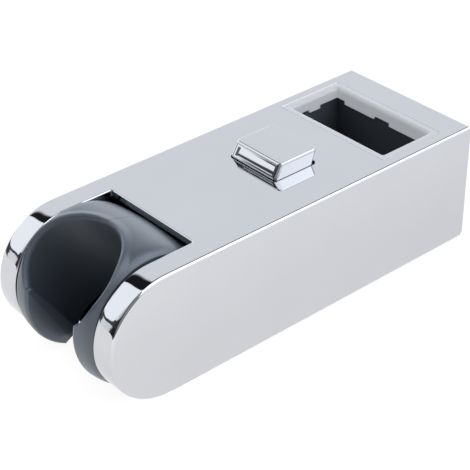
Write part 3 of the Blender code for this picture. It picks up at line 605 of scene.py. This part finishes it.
def turned(profile, centre, axis, steps=64):
    """A profile of (distance along the axis, radius) pairs turned once round that axis."""
    profile = np.array(profile)
    axis = np.array(axis, float)
    first = unit(np.cross(axis, (0.3, 0.5, 0.8)))
    second = np.cross(axis, first)
    angle = np.linspace(0, 2 * math.pi, steps, endpoint=False)[:, None, None]
    spoke = first * np.cos(angle) + second * np.sin(angle)
    points = np.array(centre) + axis * profile[:, :1] + spoke * profile[:, 1:]
    slope = np.gradient(profile, axis=0)
    normals = spoke * slope[:, :1] - axis * slope[:, 1:]
    return grid(points, normals, wrap=True)


half = holder_half()
patches = []
for side in (1, -1):
    rows = tilted(half * (1, side, 1))
    section = np.concatenate((rows, rows[:, :1]), axis=1)
    trunnion = pin(TRUNNION_ROOT, TRUNNION_TIP, TRUNNION)
    patches += [grid(section, UP), flat([rows[-1]], (0.0, -side, 0.0)),
                turned(trunnion, (NOSE.x, 0, NOSE.z), (0, side, 0))]
holder = weld("holder_body", patches, sharp_deg=38)
satin_grey, place, shader = finish("satin_grey", (0.052, 0.062, 0.078), 0.42,
                                   Specular_IOR_Level=0.92, Specular_Tint=(0.80, 0.90, 1.0, 1.0),
                                   Coat_Weight=0.5, Coat_Roughness=0.4, Coat_Tint=(0.90, 0.95, 1.0, 1.0))
grain = noise(place, 9000.0, 2.0)
sheen_spots = noise(place, 120.0)
x, y, z = place.axes()
back = (x - NOSE.x) * math.cos(TILT) + (z - NOSE.z) * math.sin(TILT) + BORE_AHEAD
from_axis = (back * back + y * y) ** 0.5
outside = from_axis.above(BORE_MOUTH + 0.3 * MM, 0.5 * MM)
beside = y - PARTING_SIDE
parting_line = outside * (1 - beside.largest(0 - beside).above(0.15 * MM, 0.12 * MM))
roughness = 0.60 - 0.22 * outside + 0.06 * grain + 0.06 * sheen_spots
feed(shader, "Roughness", roughness + 0.3 * parting_line)
satin = mix_colour(noise(place, 70.0, 2.0), (0.049, 0.059, 0.074), (0.055, 0.065, 0.082))
# Inside the bore the colour is painted much darker than outside: painted shade deep in the bore.
feed(shader, "Base Color", mix_colour(outside, (0.020, 0.025, 0.033), satin))
bump(shader, 0.2 * grain - parting_line, 0.06 * MM)
holder.data.materials.append(satin_grey)
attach(holder, "holder")
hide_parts("holder")


# Push button. A chromed cap that tapers and leans towards the rail, with a framed finger recess
# in its front. It is moulded with a flange, two wedge legs and a spring spigot under the roof.
# The cap's sizes at foot and top, and the leg's outline, are in millimetres from its middle.
BUTTON_X = REAR - 44.85 * MM
CAP_FRONT, CAP_REAR, CAP_HALF = (-6.5, -5.1), (5.3, 6.35), (7.6, 7.52)
CAP_TOP = HEIGHT + 3.65 * MM
CAP_CORNER = 1.0 * MM
CAP_FOOT = 0.5 * MM
CAP_FOOT_OUT = (-0.1, -0.1, -0.1)
CAP_ROUND = 0.7 * MM
CAP_ROUND_IN = (0.7, 0.2, 0.4)
PANEL_FRAME = 0.4 * MM, 0.35 * MM
PANEL_SLOPE = 0.2 * MM, 0.15 * MM
PANEL_DEPTH = 0.5 * MM
PANEL_TIP = 0.03 * MM
PANEL_BULGE = 0.04 * MM
FLANGE_FRONT, FLANGE_REAR, FLANGE_HALF = 7.35 * MM, 7.75 * MM, 9.3 * MM
FLANGE_LOW, FLANGE_TOP = 26.2 * MM, 27.7 * MM
LEG_SIDE, LEG_HALF = 6.5 * MM, 1.5 * MM
LEG_OUTLINE = [(4.3, 7.3), (4.3, 26.4), (-2.2, 26.4), (-2.2, 17.3), (2.8, 7.3)]
SPIGOT, SPIGOT_ROOT, SPIGOT_LENGTH = 2.0 * MM, 26.9 * MM, 3.5 * MM


def box_faces(low, high):
    """The six faces of a box as flat patches."""
    low, high = np.array(low), np.array(high)
    patches = []
    for axis in range(3):
        for end, sign in ((low, -1), (high, 1)):
            loop = np.array([low, low, low, low], float)
            b, c = (axis + 1) % 3, (axis + 2) % 3
            loop[:, axis] = end[axis]
            loop[[1, 2], b] = high[b]
            loop[[2, 3], c] = high[c]
            normal = np.zeros(3)
            normal[axis] = sign
            patches.append(flat([loop], normal))
    return patches


def bar(outline, half_width, middle_y):
    """A bar across the part: an outline of (x, z) pairs carried from one side to the other."""
    outline = np.array(outline)
    rows = [np.c_[outline[:, 0], np.full(len(outline), middle_y + side * half_width), outline[:, 1]]
            for side in (-1, 1)]
    ends = [flat([row], (0.0, side, 0.0)) for row, side in zip(rows, (-1, 1))]
    return [grid(np.stack(rows, axis=1), UP, wrap=True)] + ends


def cap_loop(share, height, inset=(0.0, 0.0, 0.0)):
    """The cap's section from its front near corner round to the far one, and its plan normals.

    share runs from 0 at the foot to 1 at the cap's top, on straight lines between the sizes in
    millimetres there; inset draws the front, rear and sides in.
    """
    front = BUTTON_X + (CAP_FRONT[0] * (1 - share) + CAP_FRONT[1] * share + inset[0]) * MM
    rear = BUTTON_X + (CAP_REAR[0] * (1 - share) + CAP_REAR[1] * share - inset[1]) * MM
    half_width = (CAP_HALF[0] * (1 - share) + CAP_HALF[1] * share - inset[2]) * MM
    corner = CAP_CORNER - inset[2] * MM
    plan, outward = rounded_rectangle((front, -half_width), (rear, half_width), corner, 8)
    first = -len(plan) // 2
    return np.roll(on_plane(plan, height), first, axis=0), np.roll(on_plane(outward, 0.0), first, axis=0)


def finger_panel(front, into):
    """A frame on the cap's front and the panel sunk in it, which bulges a little as a shallow arch.

    front holds the frame's corners: near and far below, far and near above. The frame's walls
    slope inwards, and the panel lies a little deeper above than below.
    """
    along, up = front[1] - front[0], front[3] - front[0]
    up = up - along * up.dot(along) / along.dot(along)
    from_centre = front - front.mean(axis=0)
    away = np.sign(from_centre.dot(along))[:, None] * unit(along)
    above = np.sign(from_centre.dot(up))[:, None]
    rise = above * unit(up)
    inset = front - away * PANEL_FRAME[0] - rise * PANEL_FRAME[1]
    sunk = inset - away * PANEL_SLOPE[0] - rise * PANEL_SLOPE[1]
    sunk = sunk + into * (PANEL_DEPTH + PANEL_TIP * above)
    share = np.linspace(0, 1, 13)[:, None]
    bulge = -into * PANEL_BULGE * 4 * share * (1 - share)
    upright = sunk[3] - sunk[0]
    facing = np.cross(along, upright)
    facing = unit(facing) * np.sign(facing.dot(-into))
    lean = facing - upright / upright.dot(upright) * PANEL_BULGE * 4 * (1 - 2 * share)
    near = sunk[0] * (1 - share) + sunk[3] * share + bulge
    far = sunk[1] * (1 - share) + sunk[2] * share + bulge
    return [grid(np.stack((near, far), axis=1), unit(lean)[:, None]),
            grid(np.stack((front, inset), axis=1), -into, wrap=True),
            flat([np.array((inset[0], inset[1], sunk[1], sunk[0]))], up),
            flat([np.array((inset[2], inset[3], sunk[3], sunk[2]))], -up),
            flat([np.concatenate((inset[[3, 0]], near))], along),
            flat([np.concatenate((inset[[2, 1]], far))], -along)]


low, out = cap_loop(0, FLANGE_TOP, CAP_FOOT_OUT)
base, _ = cap_loop(0, HEIGHT, CAP_FOOT_OUT)
middle, _ = cap_loop(0, HEIGHT + CAP_FOOT)
high, _ = cap_loop(1, CAP_TOP - CAP_ROUND)
crown, _ = cap_loop(1, CAP_TOP - CAP_ROUND, CAP_ROUND_IN)
rise = high - middle
steepness = (out * rise).sum(axis=1, keepdims=True) / (rise * rise).sum(axis=1, keepdims=True)
side_n = unit(out - rise * steepness)
turn = np.linspace(0, math.pi / 2, 9)[:, None]
outwards = high - crown
levels = crown[:, None] + outwards[:, None] * np.cos(turn) + UP * CAP_ROUND * np.sin(turn)
width = (outwards * out).sum(axis=1)[:, None, None]
rounding = unit(out[:, None] * CAP_ROUND * np.cos(turn) + UP * width * np.sin(turn))
front = np.array([middle[0], middle[-1], high[-1], high[0]])
into = np.cross(front[1] - front[0], front[3] - front[0])
into = unit(into) * np.sign(into[0])
patches = [grid(np.stack((low, base, middle), axis=1), out[:, None], wrap=True), flat([low], -UP),
           grid(np.stack((middle, high), axis=1), side_n[:, None]),
           grid(levels, rounding, wrap=True), flat([levels[:, -1]], UP)]
patches += finger_panel(front, into)
button = weld("push_button_cap", patches)
button_chrome = plate_chrome("button_chrome", scratched=False)
button.data.materials.append(button_chrome)
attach(button, "button")

patches = box_faces((BUTTON_X - FLANGE_FRONT, -FLANGE_HALF, FLANGE_LOW),
                    (BUTTON_X + FLANGE_REAR, FLANGE_HALF, FLANGE_TOP))
leg = [(BUTTON_X + x * MM, z * MM) for x, z in LEG_OUTLINE]
patches += bar(leg, LEG_HALF, -LEG_SIDE) + bar(leg, LEG_HALF, LEG_SIDE)
spigot = pin(0.0, SPIGOT_LENGTH, SPIGOT)
patches.append(turned(spigot, (BUTTON_X, 0, SPIGOT_ROOT), (0, 0, -1), 32))
legs = weld("push_button_legs", patches, sharp_deg=30)
bevel = legs.modifiers.new("rounded_edges", "BEVEL")
bevel.width = 0.2 * MM
bevel.segments = 2
bevel.angle_limit = math.radians(30)
bevel.harden_normals = True
legs.data.materials.append(button_chrome)
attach(legs, "button")
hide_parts("push_button")
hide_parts("push_button")


# Liners. Two white plastic frames that guide the rail, pressed into the shell above and below.
# Tabs on their inner edges key into the dark frame inside.
LINER_X = REAR - 17.4 * MM
LINER_DEPTH = 2.7 * MM
LINER_EDGES = (9.5, 17.0, 0.45, 0.12, 1), (7.5, 15.0, 0.3, 0.9, -1)
TAB_FROM, TAB_TO = 2.6 * MM, 3.6 * MM
SIDE_TAB, END_TAB = (0.5, 4.9), (1.7, 0.5)


def liner_patches(upwards):
    """A frame with rounded edges outside and inside, and six tabs that hang from its inner edge.

    Each edge is a rounded rectangle given by its half sizes, corner radius and edge round in
    millimetres; the last number is 1 for the outer edge and -1 for the inner one. A tab is a
    box given by its half sizes and its middle.
    """
    face_z = HEIGHT if upwards else 0.0
    over = UP if upwards else -UP
    sign = over[2]
    patches, rims, ends = [], [], []
    for half_x, half_y, corner, soft, outside in LINER_EDGES:
        low = LINER_X - half_x * MM, -half_y * MM
        high = LINER_X + half_x * MM, half_y * MM
        plan, out = rounded_rectangle(low, high, corner * MM)
        away = on_plane(out, 0.0) * -outside
        points, normals = rim(on_plane(plan, face_z), over, away, soft * MM, 5)
        patches.append(grid(points, normals, wrap=True))
        end = on_plane(plan, face_z - sign * LINER_DEPTH)
        patches.append(grid(np.stack((points[:, -1], end), axis=1), -away[:, None], wrap=True))
        rims.append(points[:, 0])
        ends.append(end)
    patches += [flat(rims, over), flat(ends, -over)]
    tabs = [(*SIDE_TAB, side * 8.0, end * 7.5) for side in (-1, 1) for end in (-1, 1)]
    tabs += [(*END_TAB, 0.0, end * 15.5) for end in (-1, 1)]
    z_low, z_high = sorted((face_z - sign * TAB_FROM, face_z - sign * TAB_TO))
    for half_x, half_y, tab_x, tab_y in tabs:
        patches += box_faces((LINER_X + (tab_x - half_x) * MM, (tab_y - half_y) * MM, z_low),
                             (LINER_X + (tab_x + half_x) * MM, (tab_y + half_y) * MM, z_high))
    return patches


# The white plastic glows faintly though it is no lamp: painted light that brightens the frames' walls,
# over a base colour kept low to make up for it.
liner_white, place, shader = finish("liner_white", (0.27, 0.278, 0.29), 0.40,
                                    Emission_Color=(0.95, 0.98, 1.03, 1.0), Emission_Strength=0.28)
grain = noise(place, 6000.0, 2.0)
feed(shader, "Roughness", 0.34 + 0.10 * grain)
feed(shader, "Base Color", mix_colour(noise(place, 90.0), (0.26, 0.268, 0.28), (0.28, 0.288, 0.30)))
bump(shader, grain, 0.008 * MM)
for node, upwards in (("top_liner", True), ("bottom_liner", False)):
    liner = weld(node + "_frame", liner_patches(upwards))
    liner.data.materials.append(liner_white)
    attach(liner, "slider_body")
    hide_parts(node)


# Cover screws. Four pan-head steel screws, cold-formed with a cross recess in the head. They
# hold the base cover to bosses in the shell.
HEAD_RADIUS = 1.75 * MM
HEAD_TOP, HEAD_FOOT = 0.3 * MM, 1.4 * MM
HEAD_DOME = 0.5 * MM
CROSS_HALF, CROSS_REACH, CROSS_DEPTH = 0.28 * MM, 1.05 * MM, 0.7 * MM
CROSS_SLOPE, CROSS_RUNOUT = 0.08 * MM, 0.15 * MM
SHANK_SHARE = 0.55
SHANK_END, SHANK_TIP = 11.0 * MM, 11.3 * MM


def screw_head(x, y):
    """A domed head on a polar grid, with a cross pressed in where either arm's distance is small.

    The head's top lies lowest, since the screw stands on its head; its wall and shank follow
    as rings above it.
    """
    share = np.linspace(0, 1, 26)[None, :]
    angle = np.linspace(0, 2 * math.pi, 96, endpoint=False)[:, None]
    reach = HEAD_RADIUS * np.sin(share * math.pi / 2)
    across = np.minimum(np.abs(np.sin(angle)), np.abs(np.cos(angle))) * reach
    cross = np.clip((CROSS_HALF - across) / CROSS_SLOPE, 0, 1)
    cross = cross * np.clip((CROSS_REACH - reach) / CROSS_RUNOUT, 0, 1)
    height = HEAD_TOP + HEAD_DOME * (1 - np.cos(share * math.pi / 2))
    height = height + CROSS_DEPTH * cross * (1 - reach / HEAD_RADIUS)
    top = np.stack((x + reach * np.cos(angle), y + reach * np.sin(angle), height), axis=-1)
    wall = top[:, -1:] * (1, 1, 0) + (0, 0, HEAD_FOOT)
    foot = wall - (wall - (x, y, 0)) * (1, 1, 0) * (1 - SHANK_SHARE)
    shank = foot * (1, 1, 0) + (0, 0, SHANK_END)
    tip = shank * 0 + (x, y, SHANK_TIP)
    return [grid(np.concatenate((top, wall, foot, shank, tip), axis=1), UP, wrap=True)]


screw_steel, place, shader = finish("screw_steel", (0.56, 0.57, 0.60), 0.3, 1.0)
feed(shader, "Roughness", 0.22 + 0.22 * noise(place, 1800.0, 4.0))
bump(shader, noise(place, 5000.0), 0.006 * MM)
for number in range(1, 5):
    node = f"cover_screw_{number}"
    low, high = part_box(node)
    head = screw_head((low.x + high.x) / 2, (low.y + high.y) / 2)
    screw = weld(f"cross_head_{number}", head, sharp_deg=40)
    screw.data.materials.append(screw_steel)
    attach(screw, "slider_body")
    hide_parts(node)


# Inner parts that keep their CAD shapes: the base cover is chromed as the shell is, the frame
# round the rail is dark glass-filled plastic, and the rest is acetal, rubber and spring steel.
def dress(material, *nodes):
    """Gives CAD nodes a material in place of their plain colour. Their meshes stay as they are."""
    for node in nodes:
        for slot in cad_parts[node].material_slots:
            slot.link = "OBJECT"
            slot.material = material


dress(plate_chrome("cover_chrome", scratched=True), "base_cover")

frame_dark, place, shader = finish("frame_dark", (0.060, 0.068, 0.082), 0.36)
grain = noise(place, 2600.0, 4.0)
feed(shader, "Roughness", 0.34 + 0.2 * grain)
frame_tone = mix_colour(noise(place, 160.0, 4.0), (0.054, 0.062, 0.074), (0.066, 0.075, 0.090))
feed(shader, "Base Color", frame_tone)
bump(shader, grain, 0.015 * MM)
dress(frame_dark, "inner_frame")

acetal, place, shader = finish("acetal", (0.70, 0.69, 0.64), 0.4)
feed(shader, "Roughness", 0.34 + 0.14 * noise(place, 900.0, 4.0))
feed(shader, "Base Color", mix_colour(noise(place, 140.0), (0.68, 0.67, 0.61), (0.74, 0.73, 0.69)))
bump(shader, noise(place, 3000.0), 0.01 * MM)
dress(acetal, "brake_slide", "pivot_bush_left", "pivot_bush_right")

black_rubber, place, shader = finish("black_rubber", (0.018, 0.018, 0.018), 0.8)
grain = noise(place, 3600.0, 5.0)
feed(shader, "Roughness", 0.66 + 0.26 * grain)
rubber_tone = mix_colour(noise(place, 400.0), (0.014, 0.014, 0.014), (0.030, 0.029, 0.028))
feed(shader, "Base Color", rubber_tone)
bump(shader, grain, 0.03 * MM)
dress(black_rubber, "brake_pad", "friction_ring_left", "friction_ring_right")

spring_steel, place, shader = finish("spring_steel", (0.50, 0.49, 0.47), 0.28, 1.0)
feed(shader, "Roughness", 0.2 + 0.25 * noise(place, 2400.0, 4.0))
steel_tone = mix_colour(noise(place, 500.0, 4.0), (0.46, 0.45, 0.43), (0.56, 0.55, 0.53))
feed(shader, "Base Color", steel_tone)
bump(shader, noise(place, 6000.0), 0.006 * MM)
dress(spring_steel, "brake_spring", "button_spring")


# Studio. The part lies on a white table that is lit from inside. A dark pad under it is a painted
# shadow where the part shades the table. The room is bright behind the part and dim behind the
# camera; the chrome mirrors all of it.
FLOOR_REACH = 3.0
FLOOR_Z, SHADOW_PAD_Z = -0.3 * MM, -0.1 * MM
SHADOW_PAD_HALF = 19.5
floor_corners = (-FLOOR_REACH, -FLOOR_REACH), (FLOOR_REACH, FLOOR_REACH)
floor = weld("floor", [flat([rectangle(*floor_corners, FLOOR_Z)], UP)])
floor_white, place, shader = finish("floor_white", (0.25, 0.25, 0.25), 0.9,
                                    Specular_IOR_Level=0.0, Emission_Strength=1.0)
along, across, _ = place.axes()
# The table's glow is not even: it is painted dimmer behind the part (+x) and beyond y = -42 mm, as
# painted shade on the floor.
glow = mix_colour(along.above(0.01, 0.22), (0.92, 0.915, 0.91), (0.78, 0.785, 0.79))
feed(shader, "Emission Color", (1.14 - 0.14 * across.above(-0.042, 0.045)).scaled(glow))
feed(shader, "Roughness", 0.85 + 0.1 * noise(place, 8.0))
floor.data.materials.append(floor_white)

# The dark pad is a painted shadow under the part. Its front end is in millimetres from the middle
# of the nose; then comes its square rear end.
shadow_pad_front = [(1, SHADOW_PAD_HALF), (1, 13), (-1.5, 11.5), (-2.8, 8.7), (-3.2, 6.2), (-5, 4.6), (-6.6, 3),
             (-7.2, 0), (-7.2, -8), (-6.2, -10.8), (-3.8, -12.5), (1, -13), (1, -SHADOW_PAD_HALF)]
shadow_pad_plan = [(NOSE.x + x * MM, y * MM) for x, y in shadow_pad_front]
shadow_pad_plan += [(REAR - 0.5 * MM, -SHADOW_PAD_HALF * MM), (REAR - 0.5 * MM, SHADOW_PAD_HALF * MM)]
shadow_pad = weld("floor_shadow_pad", [flat([on_plane(shadow_pad_plan, SHADOW_PAD_Z)], UP)])
shadow_pad_black, place, shader = finish("shadow_pad_black", (0.01, 0.01, 0.01), 0.9, Specular_IOR_Level=0.0)
feed(shader, "Roughness", 0.85 + 0.1 * noise(place, 900.0))
shadow_pad.data.materials.append(shadow_pad_black)

world = bpy.data.worlds.new("studio")
bpy.context.scene.world = world
world.use_nodes = True
direction = Wire(world.node_tree).add("ShaderNodeTexCoord", output="Generated")
ahead_x, ahead_y, upward = direction.axes()
overhead_x, overhead_y = ahead_x / upward.largest(0.02), ahead_y / upward.largest(0.02)


def card(x_from, x_to, y_from, y_to, blur=0.04):
    """1 inside a rectangle on a ceiling one unit up, 0 outside it, with soft edges."""
    inside = overhead_x.above(x_from, blur) * (1 - overhead_x.above(x_to, blur))
    inside = inside * overhead_y.above(y_from, blur) * (1 - overhead_y.above(y_to, blur))
    return inside * upward.above(0.03, 0.02)


# A dark flag overhead, over the part's far rear corner.
flag = 1 - (overhead_x + 0.9 * overhead_y).above(1.05, 0.14)
flag = flag.largest(1 - overhead_y.above(0.66, 0.14))
slant = 0.55 * overhead_x + 0.835 * overhead_y
flag = overhead_x.above(-0.135, 0.02) * overhead_y.above(0.08, 0.06) * flag
flag = flag * (1 - slant.above(1.1, 0.2)) * upward.above(0.03, 0.02)

# A dark, uneven band low beyond the holder's end, towards the far side.
flame = noise(direction, 16.0, 2.0)
leftward = ahead_y / (0 - ahead_x).largest(0.05) + 0.24 * (flame - 0.5)
wings = (1 - leftward.above(0.80, 0.05)).largest(leftward.above(1.12, 0.05))
level = upward + 0.05 * (flame - 0.5)
band = level.above(0.155, 0.02).largest(wings)
band = band * (1 - (upward - 0.6 * (0.95 - leftward).largest(0.0)).above(0.205, 0.02))
horizon = band * (1 - ahead_x.above(-0.35, 0.2)) * ahead_y.above(-0.25, 0.4)

# Light from behind and beside the part, two cards overhead, and a window low behind it.
behind = 0.65 * ahead_x + 0.76 * ahead_y
beside = 0.57 * ahead_x - 0.82 * ahead_y
light = 0.36 + 0.74 * behind.above(-0.05, 0.2)
light = light.largest(1.45 * beside.above(0.86, 0.1) * (1 - upward.above(0.45, 0.1)))
light = light + 1.9 * card(-0.2, 1.38, -1.9, -0.04) + 0.35 * card(-4.5, -0.15, 0.3, 5.0)
window = behind.above(0.6, 0.2) * upward.above(0.05, 0.04) * (1 - upward.above(0.40, 0.06))
light = (light + 0.8 * window) * (1 - 0.985 * flag) * (1 - 0.93 * horizon)
feed(world.node_tree.nodes["Background"], "Color", light.scaled((0.96, 0.985, 1.03)))
bpy.context.scene.view_settings.view_transform = "Standard"
